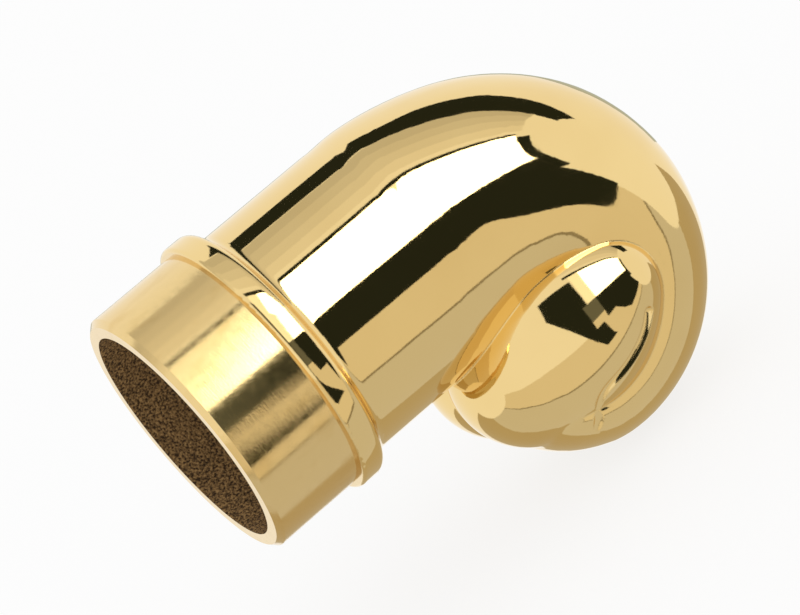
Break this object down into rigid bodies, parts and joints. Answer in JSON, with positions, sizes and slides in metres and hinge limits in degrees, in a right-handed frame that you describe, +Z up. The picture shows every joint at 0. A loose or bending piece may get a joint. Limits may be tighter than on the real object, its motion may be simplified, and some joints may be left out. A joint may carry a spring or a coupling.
{
  "type": "handrail scroll finial",
  "caption": "Polished brass scroll finial that plugs into the end of a tubular handrail and ends it in a tight downward curl.",
  "frame": {"origin": "centre of the collar's shoulder, the flat ring that the end of the rail tube meets, on the spigot's axis", "axes": "+X runs along the rail axis from the tube into the scroll, +Z is up on a level rail, the scroll curls down towards -Z, and Y = 0 is the mirror plane of the two sides"},
  "size_m": [0.0966, 0.0518, 0.0755],
  "materials": {
    "brass": "polished, with a satin spigot and a rough cored bore"
  },
  "bodies": {
    "root": {"scroll_casting": "brass"}
  },
  "joints": []
}
